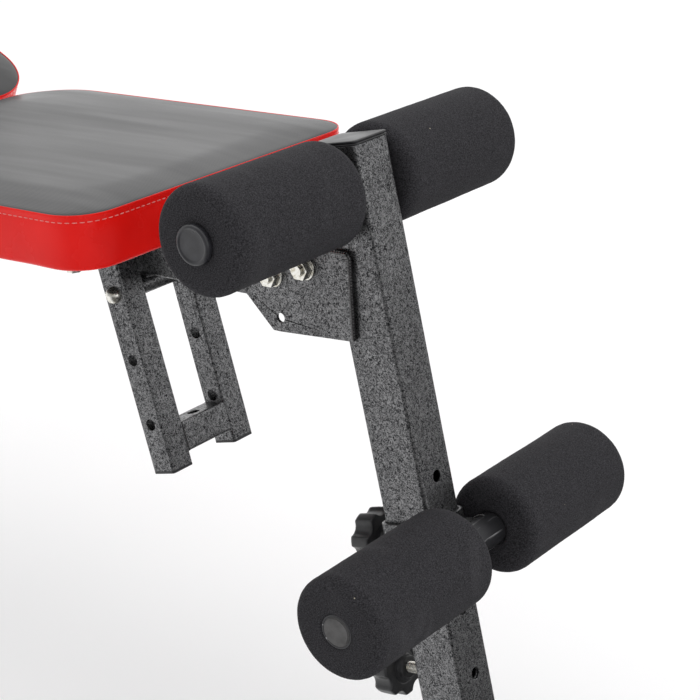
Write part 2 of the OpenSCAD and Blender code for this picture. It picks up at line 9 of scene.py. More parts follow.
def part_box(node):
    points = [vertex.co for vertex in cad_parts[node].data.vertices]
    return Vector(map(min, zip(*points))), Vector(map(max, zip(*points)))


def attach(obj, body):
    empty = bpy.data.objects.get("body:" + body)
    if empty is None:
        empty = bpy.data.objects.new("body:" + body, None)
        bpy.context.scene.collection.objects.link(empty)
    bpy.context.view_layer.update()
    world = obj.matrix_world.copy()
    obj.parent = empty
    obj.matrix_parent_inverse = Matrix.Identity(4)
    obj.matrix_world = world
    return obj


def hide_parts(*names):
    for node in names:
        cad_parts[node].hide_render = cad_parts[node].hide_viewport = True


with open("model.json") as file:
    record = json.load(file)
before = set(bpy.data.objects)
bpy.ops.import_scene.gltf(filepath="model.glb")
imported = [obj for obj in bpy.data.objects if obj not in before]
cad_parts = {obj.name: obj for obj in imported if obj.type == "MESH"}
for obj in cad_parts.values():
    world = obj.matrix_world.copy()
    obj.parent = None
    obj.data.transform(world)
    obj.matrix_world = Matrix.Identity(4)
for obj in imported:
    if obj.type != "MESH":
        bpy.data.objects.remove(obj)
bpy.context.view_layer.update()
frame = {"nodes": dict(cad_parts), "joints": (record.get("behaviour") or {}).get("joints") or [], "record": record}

# Looks of the sit up bench, in metres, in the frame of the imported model.

MM = 0.001
X = Vector((1, 0, 0))
Y = Vector((0, 1, 0))
Z = Vector((0, 0, 1))
NODES = frame["nodes"]
JOINTS = {joint["name"]: joint for joint in frame["joints"]}
NODE_SLOT = {part["node"]: part["material_slot"] for part in frame["record"]["subparts"]}

RAIL_SLOPE = math.radians(2.5)
BACK_SLOPE = math.radians(25)
POST_LEAN = math.radians(12.6)
STIRRUP_LEAN = math.radians(15.8)


# ---- places taken from the frame ----


def joint_point(name):
    return Vector(JOINTS[name]["pos_m"])


def joint_axis(name):
    return Vector(JOINTS[name]["axis"]).normalized()


def turned(angle):
    """Rotation about Y; a positive angle dips +X."""
    return Matrix.Rotation(angle, 3, "Y")


def local_box(node, turn):
    """Lowest and highest corner of a CAD node in axes turned by the matrix turn."""
    back = turn.transposed()
    points = [back @ v.co for v in NODES[node].data.vertices]
    low = Vector([min(p[i] for p in points) for i in range(3)])
    high = Vector([max(p[i] for p in points) for i in range(3)])
    return low, high


RAIL = turned(-RAIL_SLOPE)
BACK = turned(BACK_SLOPE)
POST = turned(-POST_LEAN)
STIRRUP = turned(-STIRRUP_LEAN)
UPPER_AXIS = joint_point("roller_upper_near_spin")
UPPER_AXIS.y = 0


# ---- mesh helpers ----


def finish_piece(bm, name, materials, body):
    """Turns a bmesh into a piece that rides on body and takes the given materials."""
    bmesh.ops.recalc_face_normals(bm, faces=bm.faces)
    mesh = bpy.data.meshes.new(name)
    bm.to_mesh(mesh)
    bm.free()
    for material in materials:
        mesh.materials.append(material)
    for polygon in mesh.polygons:
        polygon.use_smooth = True
    piece = bpy.data.objects.new(name, mesh)
    bpy.context.scene.collection.objects.link(piece)
    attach(piece, body)
    return piece


def loft(bm, rings, loop=False):
    """Skins a row of rings of equal count. The ends are capped, or joined up when loop is set."""
    rows = [[bm.verts.new(p) for p in ring] for ring in rings]
    pairs = list(zip(rows, rows[1:]))
    if loop:
        pairs.append((rows[-1], rows[0]))
    for a, b in pairs:
        for i in range(len(a)):
            j = (i + 1) % len(a)
            bm.faces.new((a[i], a[j], b[j], b[i]))
    if not loop:
        bm.faces.new(rows[0])
        bm.faces.new(reversed(rows[-1]))


def side_vectors(axis):
    """Two unit vectors square to axis and to each other."""
    first = axis.cross(Y if abs(axis.y) < 0.9 else Z).normalized()
    return first, axis.cross(first)


def round_ring(centre, axis, radius, count):
    """Ring about axis; radius is a number or a function of the angle."""
    a, b = side_vectors(axis)
    ring = []
    for i in range(count):
        angle = 2 * math.pi * i / count
        r = radius(angle) if callable(radius) else radius
        ring.append(centre + (a * math.cos(angle) + b * math.sin(angle)) * r)
    return ring


def rect_ring(centre, turn, half_x, half_y, radius, arc_steps=5):
    """Rounded rectangle in the plane square to the turned Z."""
    ring = []
    for sx, sy, start in ((1, 1, 0), (-1, 1, 90), (-1, -1, 180), (1, -1, 270)):
        for i in range(arc_steps + 1):
            angle = math.radians(start + 90 * i / arc_steps)
            x = sx * (half_x - radius) + radius * math.cos(angle)
            y = sy * (half_y - radius) + radius * math.sin(angle)
            ring.append(centre + turn @ Vector((x, y, 0)))
    return ring


# ---- materials ----


class Graph:
    """A node material with its Principled shader and a few short-hands."""

    def __init__(self, name, colour, roughness, **sockets):
        self.material = bpy.data.materials.new(name)
        self.material.use_nodes = True
        self.tree = self.material.node_tree
        self.shader = self.tree.nodes["Principled BSDF"]
        self.shader.inputs["Base Color"].default_value = (*colour, 1)
        self.shader.inputs["Roughness"].default_value = roughness
        for socket, value in sockets.items():
            self.shader.inputs[socket.replace("_", " ")].default_value = value
        self.place = self.tree.nodes.new("ShaderNodeTexCoord").outputs["Object"]

    def link(self, output, socket):
        self.tree.links.new(output, socket)

    def stretched(self, scale):
        node = self.tree.nodes.new("ShaderNodeMapping")
        node.inputs["Scale"].default_value = scale
        self.link(self.place, node.inputs["Vector"])
        return node.outputs["Vector"]

    def noise(self, scale, detail=3, distortion=0, place=None):
        node = self.tree.nodes.new("ShaderNodeTexNoise")
        node.inputs["Scale"].default_value = scale
        node.inputs["Detail"].default_value = detail
        node.inputs["Distortion"].default_value = distortion
        self.link(place or self.place, node.inputs["Vector"])
        return node.outputs["Fac"]

    def cells(self, scale, output="Distance"):
        node = self.tree.nodes.new("ShaderNodeTexVoronoi")
        node.inputs["Scale"].default_value = scale
        self.link(self.place, node.inputs["Vector"])
        return node.outputs[output]

    def ribs(self, scale):
        """Fine ribs that run lengthwise, side by side across Y."""
        node = self.tree.nodes.new("ShaderNodeTexWave")
        node.bands_direction = "Y"
        node.inputs["Scale"].default_value = scale
        node.inputs["Distortion"].default_value = 0.3
        self.link(self.place, node.inputs["Vector"])
        return node.outputs["Fac"]

    def ramp(self, factor, *stops):
        node = self.tree.nodes.new("ShaderNodeValToRGB")
        elements = node.color_ramp.elements
        while len(elements) < len(stops):
            elements.new(1)
        for element, (position, colour) in zip(elements, stops):
            element.position = position
            grey = not hasattr(colour, "__len__")
            element.color = (colour, colour, colour, 1) if grey else (*colour, 1)
        self.link(factor, node.inputs["Fac"])
        return node.outputs["Color"]

    def mix(self, factor, a, b):
        """Colour a where factor is 0, and b where it is 1."""
        node = self.tree.nodes.new("ShaderNodeMix")
        node.data_type = "RGBA"
        sockets = {socket.identifier: socket for socket in node.inputs}
        self.feed(sockets["Factor_Float"], factor)
        self.feed(sockets["A_Color"], a)
        self.feed(sockets["B_Color"], b)
        return next(socket for socket in node.outputs if socket.identifier == "Result_Color")

    def feed(self, socket, value):
        """Gives the socket a link, a colour or a number."""
        if isinstance(value, bpy.types.NodeSocket):
            self.link(value, socket)
        elif hasattr(value, "__len__"):
            socket.default_value = (*value, 1)
        else:
            socket.default_value = value

    def product(self, a, b):
        node = self.tree.nodes.new("ShaderNodeMath")
        node.operation = "MULTIPLY"
        self.feed(node.inputs[0], a)
        self.feed(node.inputs[1], b)
        return node.outputs[0]

    def colour(self, output):
        self.link(output, self.shader.inputs["Base Color"])

    def roughness(self, output):
        self.link(output, self.shader.inputs["Roughness"])

    def bump(self, *layers):
        """Each layer is (height, strength, depth in metres)."""
        previous = None
        for height, strength, depth in layers:
            node = self.tree.nodes.new("ShaderNodeBump")
            node.inputs["Strength"].default_value = strength
            node.inputs["Distance"].default_value = depth
            self.link(height, node.inputs["Height"])
            if previous is not None:
                self.link(previous, node.inputs["Normal"])
            previous = node.outputs["Normal"]
        self.link(previous, self.shader.inputs["Normal"])


def hammertone():
    dark, middle, light = (0.022, 0.022, 0.024), (0.146, 0.146, 0.1495), (0.27, 0.27, 0.275)
    g = Graph("hammertone_paint", light, 0.38, Metallic=0.85)
    worms = g.noise(470, 1, 1.8)
    paint = g.ramp(worms, (0.36, dark), (0.50, middle), (0.64, light))
    blotch = g.ramp(g.noise(60, 2), (0.35, 0.0), (0.7, 0.2))
    g.colour(g.mix(blotch, paint, dark))
    g.roughness(g.ramp(worms, (0.35, 0.50), (0.6, 0.30)))
    g.bump((worms, 0.5, 0.45 * MM), (g.noise(1500, 1), 0.1, 0.1 * MM))
    return g.material


def foam_material():
    g = Graph("foam", (0.022, 0.021, 0.023), 0.92, Specular_IOR_Level=0.25)
    grain = g.noise(1050, 3, 0.3)
    scuffs = g.noise(11, 5, 0.8, g.stretched((1, 2.6, 1)))
    colour = g.ramp(grain, (0.3, (0.005, 0.005, 0.006)), (0.72, (0.052, 0.050, 0.056)))
    colour = g.mix(g.ramp(scuffs, (0.58, 0.0), (0.80, 0.30)), colour, (0.075, 0.073, 0.078))
    crumb = g.ramp(g.cells(170), (0.06, 1.0), (0.11, 0.0))
    few = g.ramp(g.cells(170, "Color"), (0.90, 0.0), (0.93, 1.0))
    lint = g.product(crumb, few)
    g.colour(g.mix(lint, colour, (0.42, 0.38, 0.30)))
    g.bump((grain, 0.5, 0.35 * MM), (g.cells(1400), 0.25, 0.2 * MM))
    return g.material


def plastic(name, colour, roughness, grain=0.12):
    g = Graph(name, colour, roughness)
    darker = tuple(c * 0.75 for c in colour)
    lighter = tuple(c * 1.35 for c in colour)
    g.colour(g.ramp(g.noise(140, 4), (0.3, darker), (0.75, lighter)))
    g.roughness(g.ramp(g.noise(38, 5, 0.4), (0.3, roughness - 0.06), (0.75, roughness + 0.1)))
    g.bump((g.noise(1300, 2), grain, 0.12 * MM))
    return g.material


def zinc_material():
    g = Graph("zinc", (0.78, 0.76, 0.70), 0.24, Metallic=1.0)
    stain = g.noise(260, 4, 0.8)
    dull, plain, bright = (0.48, 0.44, 0.34), (0.80, 0.78, 0.72), (0.90, 0.90, 0.88)
    g.colour(g.ramp(stain, (0.25, dull), (0.5, plain), (0.8, bright)))
    g.roughness(g.ramp(g.noise(500, 3), (0.3, 0.16), (0.75, 0.36)))
    g.bump((g.noise(900, 2), 0.12, 0.1 * MM))
    return g.material


def red_vinyl():
    g = Graph("red_vinyl", (0.80, 0.008, 0.005), 0.26, Specular_IOR_Level=0.2)
    tone = g.noise(14, 3)
    g.colour(g.ramp(tone, (0.3, (0.72, 0.006, 0.004)), (0.7, (0.85, 0.010, 0.007))))
    g.roughness(g.ramp(g.noise(30, 4), (0.3, 0.20), (0.75, 0.32)))
    g.bump((g.noise(75, 2, 0.5), 0.10, 0.6 * MM), (g.cells(1100), 0.10, 0.1 * MM))
    return g.material


def black_vinyl():
    g = Graph("black_vinyl", (0.020, 0.020, 0.021), 0.36, Specular_IOR_Level=0.5)
    tone = g.noise(9, 3, 0, g.stretched((0.25, 2.4, 1)))
    g.colour(g.ramp(tone, (0.3, (0.014, 0.014, 0.015)), (0.7, (0.026, 0.026, 0.027))))
    g.roughness(g.ramp(g.noise(16, 3, 0, g.stretched((0.25, 2.4, 1))), (0.3, 0.30), (0.75, 0.42)))
    g.bump((g.ribs(150), 0.22, 0.25 * MM), (g.cells(700), 0.12, 0.15 * MM))
    return g.material


def dust_cover():
    g = Graph("dust_cover", (0.018, 0.018, 0.019), 0.92)
    fibres = g.noise(700, 5, 1.5, g.stretched((1, 0.35, 1)))
    g.colour(g.ramp(fibres, (0.3, (0.010, 0.010, 0.011)), (0.75, (0.034, 0.034, 0.036))))
    g.bump((fibres, 0.5, 0.25 * MM), (g.noise(24, 2), 0.25, 1.5 * MM))
    return g.material


def weld_paint():
    coat = {"Coat_Weight": 0.6, "Coat_Roughness": 0.08}
    g = Graph("weld_paint", (0.030, 0.030, 0.033), 0.16, Metallic=0.5, **coat)
    g.colour(g.ramp(g.noise(420, 3), (0.3, (0.018, 0.018, 0.020)), (0.7, (0.065, 0.062, 0.062))))
    g.bump((g.noise(520, 3), 0.5, 0.5 * MM))
    return g.material


def thread_material():
    g = Graph("thread", (0.80, 0.22, 0.20), 0.6, Sheen_Weight=0.3)
    twist = g.noise(1800, 2)
    g.colour(g.ramp(twist, (0.3, (0.70, 0.12, 0.11)), (0.7, (0.90, 0.36, 0.33))))
    g.bump((twist, 0.4, 0.1 * MM))
    return g.material


def worn_bar():
    g = Graph("worn_bar", (0.035, 0.035, 0.038), 0.34, Metallic=0.4)
    scratches = g.noise(190, 5, 0.6, g.stretched((1, 0.06, 1)))
    g.colour(g.ramp(scratches, (0.62, (0.030, 0.030, 0.033)), (0.72, (0.42, 0.42, 0.43))))
    g.roughness(g.ramp(g.noise(60, 3), (0.3, 0.28), (0.7, 0.42)))
    g.bump((g.noise(600, 2), 0.15, 0.15 * MM))
    return g.material


MATERIALS = {
    "hammertone_paint": hammertone(),
    "foam": foam_material(),
    "black_plastic": plastic("black_plastic", (0.022, 0.022, 0.024), 0.36),
    "gloss_cap": plastic("gloss_cap", (0.022, 0.022, 0.026), 0.30, 0.05),
    "grey_plug": plastic("grey_plug", (0.075, 0.073, 0.073), 0.62, 0.2),
    "zinc": zinc_material(),
    "red_vinyl": red_vinyl(),
    "black_vinyl": black_vinyl(),
    "dust_cover": dust_cover(),
    "weld_paint": weld_paint(),
    "rubber_shoe": plastic("rubber_shoe", (0.020, 0.020, 0.021), 0.66, 0.3),
}
THREAD = thread_material()
WORN_BAR = worn_bar()


# ---- the carried-over CAD nodes ----


def dress_node(name, material):
    """Gives a CAD node its material and a small bevel on its sharp edges."""
    node = NODES[name]
    for slot in node.material_slots:
        slot.material = material
    weld = node.modifiers.new("weld", "WELD")
    weld.merge_threshold = 0.01 * MM
    bevel = node.modifiers.new("bevel", "BEVEL")
    bevel.width = 0.5 * MM
    bevel.segments = 2
    bevel.limit_method = "ANGLE"
    bevel.angle_limit = math.radians(40)
    bevel.use_clamp_overlap = True
    node.modifiers.new("normals", "WEIGHTED_NORMAL").keep_sharp = False


for node_name, slot_name in NODE_SLOT.items():
    dress_node(node_name, WORN_BAR if node_name == "lower_bar" else MATERIALS[slot_name])


# ---- foam rollers ----

FOAM_EDGE = 9.5 * MM
FOAM_STEPS = 44
ROLLER_SEGMENTS = 112


def foam_profile(length, radius, bore):
    """(distance along the axis, radius) round a foam sleeve's section, as a closed loop."""
    flat = radius - FOAM_EDGE
    rows = [(0, bore), (-0.3 * MM, bore + 3 * MM), (0, flat * 0.72), (0, flat)]
    for i in range(1, 8):
        angle = math.pi / 2 * i / 8
        rows.append((FOAM_EDGE * (1 - math.cos(angle)), flat + FOAM_EDGE * math.sin(angle)))
    for i in range(FOAM_STEPS + 1):
        rows.append((FOAM_EDGE + (length - 2 * FOAM_EDGE) * i / FOAM_STEPS, radius))
    for i in range(7, 0, -1):
        angle = math.pi / 2 * i / 8
        rows.append((length - FOAM_EDGE * (1 - math.cos(angle)), flat + FOAM_EDGE * math.sin(angle)))
    rows += [(length, flat), (length, flat * 0.72), (length + 0.3 * MM, bore + 3 * MM), (length, bore)]
    return rows


def foam_dent(angle, along, seed, pressed):
    """How far the foam's skin lies below its round shape there."""
    spot = Vector((math.cos(angle) * 1.7, math.sin(angle) * 1.7, along * 22 + seed * 9.3))
    dent = 0.35 * MM * (0.5 + noise.noise(spot)) + 0.12 * MM * (0.5 + noise.noise(spot * 6))
    if pressed is not None:
        away = math.remainder(angle - pressed, 2 * math.pi) / math.radians(3.2)
        start = min(1, max(0, (along - 0.03) / 0.02))
        dent += 1.5 * MM * math.exp(-away * away) * start
    return dent


def foam_roller(node, bar_node, body, seed, pressed=None):
    low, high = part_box(node)
    bar_low, bar_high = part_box(bar_node)
    radius = (high.z - low.z) / 2
    bore = (bar_high.z - bar_low.z) / 2 + 0.1 * MM
    outward = Y if low.y + high.y > 0 else -Y
    inner_end = low.y if outward.y > 0 else -high.y
    start = Vector(((low.x + high.x) / 2, 0, (low.z + high.z) / 2)) + outward * inner_end
    rings = []
    for along, r in foam_profile(high.y - low.y, radius, bore):
        ring = []
        for i in range(ROLLER_SEGMENTS):
            angle = 2 * math.pi * i / ROLLER_SEGMENTS
            outer = max(0, (r - bore) / (radius - bore))
            reach = r - foam_dent(angle, along, seed, pressed) * outer
            ring.append(start + outward * along + (X * math.cos(angle) + Z * math.sin(angle)) * reach)
        rings.append(ring)
    bm = bmesh.new()
    loft(bm, rings, loop=True)
    piece = finish_piece(bm, node + "_sleeve", [MATERIALS["foam"]], body)
    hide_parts(node)


foam_roller("foam_upper_near", "upper_bar", "roller_upper_near", 1)
foam_roller("foam_upper_far", "upper_bar", "roller_upper_far", 2)
foam_roller("foam_lower_near", "lower_bar", "roller_lower_near", 3, math.radians(62))
foam_roller("foam_lower_far", "lower_bar", "roller_lower_far", 4)


# ---- roller end caps ----


def end_cap(node, body):
    """Dished cap with a raised rim, on the end of the upper bar."""
    low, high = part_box(node)
    outward = Y if low.y + high.y > 0 else -Y
    face = max(abs(low.y), abs(high.y))
    inner = min(abs(low.y), abs(high.y))
    radius = (high.z - low.z) / 2
    centre = Vector(((low.x + high.x) / 2, 0, (low.z + high.z) / 2))
    depth = 6 * MM
    nominal_r = 15.5
    rows = [
        (inner, 10.4), (face - depth, 10.4), (face - depth, 14.6), (face - depth + 0.5 * MM, 15.4),
        (face - 2.4 * MM, nominal_r), (face - 1.1 * MM, 15.1), (face - 0.3 * MM, 14.3), (face, 13.2),
        (face - 0.2 * MM, 12.5), (face - 0.7 * MM, 12.0), (face - 0.9 * MM, 11.2),
        (face - 0.8 * MM, 7), (face - 0.7 * MM, 2),
    ]
    scale = radius / nominal_r
    rings = [round_ring(centre + outward * y, outward, r * scale, 72) for y, r in rows]
    bm = bmesh.new()
    loft(bm, rings)
    piece = finish_piece(bm, node + "_dished", [MATERIALS["gloss_cap"]], body)
    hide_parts(node)


end_cap("upper_cap_near", "frame")
end_cap("upper_cap_far", "frame")


# ---- post cap ----


def post_cap():
    """Stepped plug in the top of the post: skirt, shadow groove, plate and shallow crown."""
    low, high = local_box("post_cap", POST)
    half_x, half_y = (high.x - low.x) / 2, (high.y - low.y) / 2
    lip = local_box("post_tube", POST)[1].z
    # Height, inset and corner radius of each outline, the last two in mm
    rows = [
        (low.z, 4, 2), (lip - 0.4 * MM, 3.4, 2), (lip + 0.1 * MM, 0.8, 3), (lip + 0.5 * MM, 0.2, 4),
        (lip + 1.2 * MM, 0, 4), (lip + 1.5 * MM, 0.9, 4), (lip + 1.9 * MM, 1.0, 4),
        (lip + 2.2 * MM, 0.1, 4), (lip + 3.2 * MM, 0, 4), (lip + 3.7 * MM, 0.4, 4), (lip + 3.95 * MM, 1.2, 4),
        (lip + 4.0 * MM, 4, 3), (lip + 4.2 * MM, 10, 3),
    ]
    middle = (low + high) / 2
    bm = bmesh.new()
    rings = []
    for height, inset, corner in rows:
        centre = POST @ Vector((middle.x, middle.y, height))
        rings.append(rect_ring(centre, POST, half_x - inset * MM, half_y - inset * MM, corner * MM))
    loft(bm, rings)
    piece = finish_piece(bm, "post_cap_stepped", [MATERIALS["black_plastic"]], "frame")
    piece.modifiers.new("normals", "WEIGHTED_NORMAL")
    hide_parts("post_cap")


post_cap()


# ---- star knobs and threaded studs ----

KNOB_LOBES = 7
KNOB_R = 26.4 * MM
KNOB_DEPTH = 28
# Centre distance and radius, in mm, of the round bites between the lobes
BITE_AT = 31.3
BITE_R = 9.2
# Higher is a sharper cusp where a bite meets a lobe
CUSP = 1500


def star_outline(radius):
    """Radius of a disc with a round bite between each two lobes, as a function of the angle."""

    def reach(angle):
        step = 2 * math.pi / KNOB_LOBES
        off = math.remainder(angle, step)
        inside = BITE_R**2 - (BITE_AT * math.sin(off)) ** 2
        if inside <= 0:
            return radius
        bitten = (BITE_AT * math.cos(off) - math.sqrt(inside)) * MM
        return -math.log(math.exp(-CUSP * radius) + math.exp(-CUSP * bitten)) / CUSP

    return reach


def span_along(node, origin, axis):
    """Nearest and farthest reach of a CAD node along axis from origin."""
    reaches = [(v.co - origin).dot(axis) for v in NODES[node].data.vertices]
    return min(reaches), max(reaches)


def star_knob(node, joint, body, facing):
    """Knob whose hub faces along facing, with the grip behind it."""
    origin = joint_point(joint)
    low, high = span_along(node, origin, facing)
    star = star_outline(KNOB_R)
    # Place along facing from the hub's face and radius, in mm; where the radius is 0 the outline
    # is the star's, and the last number is the share of its full size
    rows = [
        (0, 5.3, 0), (0, 9.2, 0), (-0.5, 9.9, 0), (-3.6, 10.2, 0), (-4.8, 10.9, 0), (-5.2, 12.4, 0),
        (-5.2, 13.6, 0), (-5.7, 14.1, 0), (-5.7, 15.0, 0), (-5.2, 15.5, 0),
        (-5.2, 0, 0.92), (-5.5, 0, 0.965), (-6.4, 0, 0.99), (-8.0, 0, 1.0), (-15, 0, 0.99),
        (-21.5, 0, 0.97),
        (-23.4, 0, 0.955), (-24.6, 0, 0.92), (-25, 0, 0.86),
        (-25.2, 14, 0), (-26.8, 13.2, 0), (-27.7, 12.2, 0),
        (-KNOB_DEPTH, 10, 0), (-27.4, 8.4, 0), (-27.2, 3, 0),
    ]
    scale = (high - low) / KNOB_DEPTH
    rings = []
    for along, radius, share in rows:
        shape = (lambda angle, share=share: star(angle) * share) if share else radius * MM
        rings.append(round_ring(origin + facing * (high + along * scale), facing, shape, KNOB_LOBES * 22))
    bm = bmesh.new()
    loft(bm, rings)
    piece = finish_piece(bm, node + "_star", [MATERIALS["black_plastic"]], body)
    piece.modifiers.new("normals", "WEIGHTED_NORMAL")
    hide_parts(node)


def threaded_stud(node, joint, body, facing, pitch):
    """Stud with a helical thread, from the knob's hub to its chamfered tip."""
    origin = joint_point(joint)
    low, high = span_along(node, origin, facing)
    left, right = span_along(node, origin, side_vectors(facing)[0])
    radius = (right - left) / 2
    depth = 0.5 * pitch
    rows = int((high - low) / pitch * 6)
    rings = []
    for i in range(rows + 1):
        along = low + (high - low) * i / rows
        tip = 0.6 * MM * max(0, 1 - (high - along) / (1.5 * MM))

        def reach(angle, along=along, tip=tip):
            turn = (along / pitch - angle / (2 * math.pi)) % 1
            return radius - tip - depth * abs(2 * turn - 1)

        rings.append(round_ring(origin + facing * along, facing, reach, 24))
    bm = bmesh.new()
    loft(bm, rings)
    piece = finish_piece(bm, node + "_threaded", [MATERIALS["zinc"]], body)
    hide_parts(node)


POST_FRONT = joint_axis("carriage_knob_turn")
star_knob("carriage_knob", "carriage_knob_turn", "carriage_knob", POST_FRONT)
star_knob("leg_knob", "leg_knob_turn", "leg_knob", POST_FRONT)
star_knob("clamp_knob", "clamp_knob_turn", "clamp_knob", Y)
threaded_stud("carriage_stud", "carriage_knob_turn", "carriage_knob", POST_FRONT, 1.5 * MM)
threaded_stud("leg_stud", "leg_knob_turn", "leg_knob", POST_FRONT, 1.5 * MM)
threaded_stud("clamp_stud", "clamp_knob_turn", "clamp_knob", Y, 1.25 * MM)


# ---- weld beads ----

RIPPLE = 2.4 * MM


def resampled(points, closed, step):
    """The same path with a point every step."""
    path = list(points) + ([points[0]] if closed else [])
    out = []
    for a, b in zip(path, path[1:]):
        count = max(1, round((b - a).length / step))
        out += [a.lerp(b, i / count) for i in range(count)]
    if not closed:
        out.append(path[-1])
    return out


def bead(bm, points, radius, closed=False):
    """Weld bead of overlapping ripples along a path."""
    path = resampled(points, closed, RIPPLE / 4)
    count = len(path)
    rings = []
    run = 0
    for i, point in enumerate(path):
        before = path[(i - 1) % count] if closed or i else point
        after = path[(i + 1) % count] if closed or i < count - 1 else point
        axis = (after - before).normalized()
        run += (point - path[i - 1]).length if i else 0
        ripple = 1 - 0.22 * ((run / RIPPLE) % 1) ** 2
        lump = 1 + 0.18 * noise.noise(point * 160)
        end = 1 if closed else min(1, 0.35 + 0.4 * min(i, count - 1 - i))
        rings.append(round_ring(point, axis, radius * ripple * lump * end, 10))
    loft(bm, rings, loop=closed)


def welds(name, body, beads, replaced=()):
    """One piece for all the beads on a body; each bead is (points, radius, closed)."""
    bm = bmesh.new()
    for points, radius, closed in beads:
        bead(bm, points, radius * MM, closed)
    piece = finish_piece(bm, name, [MATERIALS["weld_paint"]], body)
    if replaced:
        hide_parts(*replaced)


def line(turn, *points):
    return [turn @ Vector(p) for p in points]


def gusset_beads():
    low, high = local_box("gusset_near", RAIL)
    out = []
    for side in (-1, 1):
        y = side * (abs(low.y) + 0.4 * MM)
        path = line(
            RAIL, (high.x + 0.6 * MM, y, low.z + 5 * MM), (high.x + 0.6 * MM, y, high.z - 3 * MM),
            (high.x - 2 * MM, y, high.z + 0.6 * MM), (high.x - 22 * MM, y, high.z + 0.6 * MM),
        )
        out.append((path, 2.0, False))
    return out


def bearer_beads(node, turn, under, width, half_gap):
    """Short beads where flat bearers cross the tubes below them; under is the bearers' underside."""
    points = sorted({round((turn.transposed() @ v.co).x, 4) for v in NODES[node].data.vertices})
    starts = [x for x in points if any(abs(x + width - other) < 0.2 * MM for other in points)]
    out = []
    for start in starts:
        for side in (-1, 1):
            y = side * half_gap
            path = line(turn, (start + 3 * MM, y, under), (start + width - 3 * MM, y, under))
            out.append((path, 1.8, False))
    return out


def rect_loop(turn, low, high, z):
    return line(turn, (low.x, low.y, z), (high.x, low.y, z), (high.x, high.y, z), (low.x, high.y, z))


def frame_beads():
    rail_low, rail_high = local_box("rail_tube", RAIL)
    half = (rail_high.y - rail_low.y) / 2
    beads = gusset_beads()
    seat_low = local_box("seat_bearers", RAIL)[0]
    beads += bearer_beads("seat_bearers", RAIL, seat_low.z, 40 * MM, half - 1.5 * MM)
    lug_low, lug_high = local_box("rear_lugs", RAIL)
    for side in (-1, 1):
        y = side * (half + 1.2 * MM)
        z = lug_high.z + 0.6 * MM
        path = line(RAIL, (lug_low.x + 4 * MM, y, z), (lug_high.x - 4 * MM, y, z))
        beads.append((path, 2.2, False))
    sleeve_low, sleeve_high = local_box("hanger_sleeve", RAIL)
    middle = (sleeve_low + sleeve_high) / 2
    foot_low = Vector((middle.x - 6 * MM, -18 * MM, 0))
    foot_high = Vector((middle.x + 6 * MM, 18 * MM, 0))
    beads.append((rect_loop(RAIL, foot_low, foot_high, rail_low.z - 0.4 * MM), 1.8, True))
    beads.append(ring_bead("leg_nut"))
    return beads


def ring_bead(node):
    """Bead round a weld nut where it meets its wall."""
    low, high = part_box(node)
    centre = (low + high) / 2
    reach = span_along(node, centre, POST_FRONT)[1]
    return round_ring(centre + POST_FRONT * reach, POST_FRONT, 9.2 * MM, 40), 1.0, True



def carriage_beads():
    low, high = local_box("lower_bracket", POST)
    bar = joint_point("roller_lower_near_spin")
    bar.y = 0
    radius = (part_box("lower_bar")[1].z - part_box("lower_bar")[0].z) / 2
    beads = [ring_bead("carriage_nut")]
    for side in (-1, 1):
        y = side * high.y
        beads.append((line(POST, (low.x, y, low.z + 2 * MM), (low.x, y, high.z - 1 * MM)), 1.9, False))
        arc = []
        for i in range(13):
            angle = math.radians(108 + 150 * i / 12) - POST_LEAN
            arc.append(bar + Y * y + (X * math.cos(angle) + Z * math.sin(angle)) * (radius + 0.4 * MM))
        beads.append((arc, 1.5, False))
    return beads


def stirrup_beads():
    low, high = local_box("stirrup_channel", STIRRUP)
    beads = []
    for y in (low.y + 0.2 * MM, high.y - 0.2 * MM):
        loop = line(
            STIRRUP, (low.x + 1 * MM, y, low.z + 1 * MM), (high.x - 1 * MM, y, low.z + 1 * MM),
            (high.x - 1 * MM, y, high.z - 1 * MM), (low.x + 1 * MM, y, high.z - 1 * MM),
        )
        beads.append((loop, 1.1, True))
    return beads


def foot_beads(leg, foot):
    """Loop round a leg where it meets the top of its foot tube."""
    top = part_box(foot)[1].z
    near = [v.co for v in NODES[leg].data.vertices if v.co.z < top + 1 * MM]
    low = Vector((min(p.x for p in near), min(p.y for p in near), 0))
    high = Vector((max(p.x for p in near), max(p.y for p in near), 0))
    return [(rect_loop(Matrix.Identity(3), low, high, top + 0.4 * MM), 2.0, True)]


def back_beads():
    under = local_box("back_bearers", BACK)[0].z
    arm_low, arm_high = local_box("back_arm_far", BACK)
    beads = []
    for y in (arm_low.y + 1 * MM, arm_high.y - 1 * MM):
        beads += bearer_beads("back_bearers", BACK, under, 40 * MM, y)
    return beads


welds("weld_beads_frame", "frame", frame_beads(), ["gusset_welds"])
welds("weld_beads_carriage", "carriage", carriage_beads())
welds("weld_beads_stirrup", "stirrup", stirrup_beads())
welds("weld_beads_front_foot", "front_leg", foot_beads("front_leg", "front_foot"))
welds("weld_beads_rear_foot", "rear_leg", foot_beads("rear_leg", "rear_foot"))
welds("weld_beads_backrest", "backrest", back_beads())


# ---- cushions ----

RED = 0
BLACK = 1
BASE_INSET = 9.2 * MM
BOARD_T = 12 * MM
CELL = 8 * MM

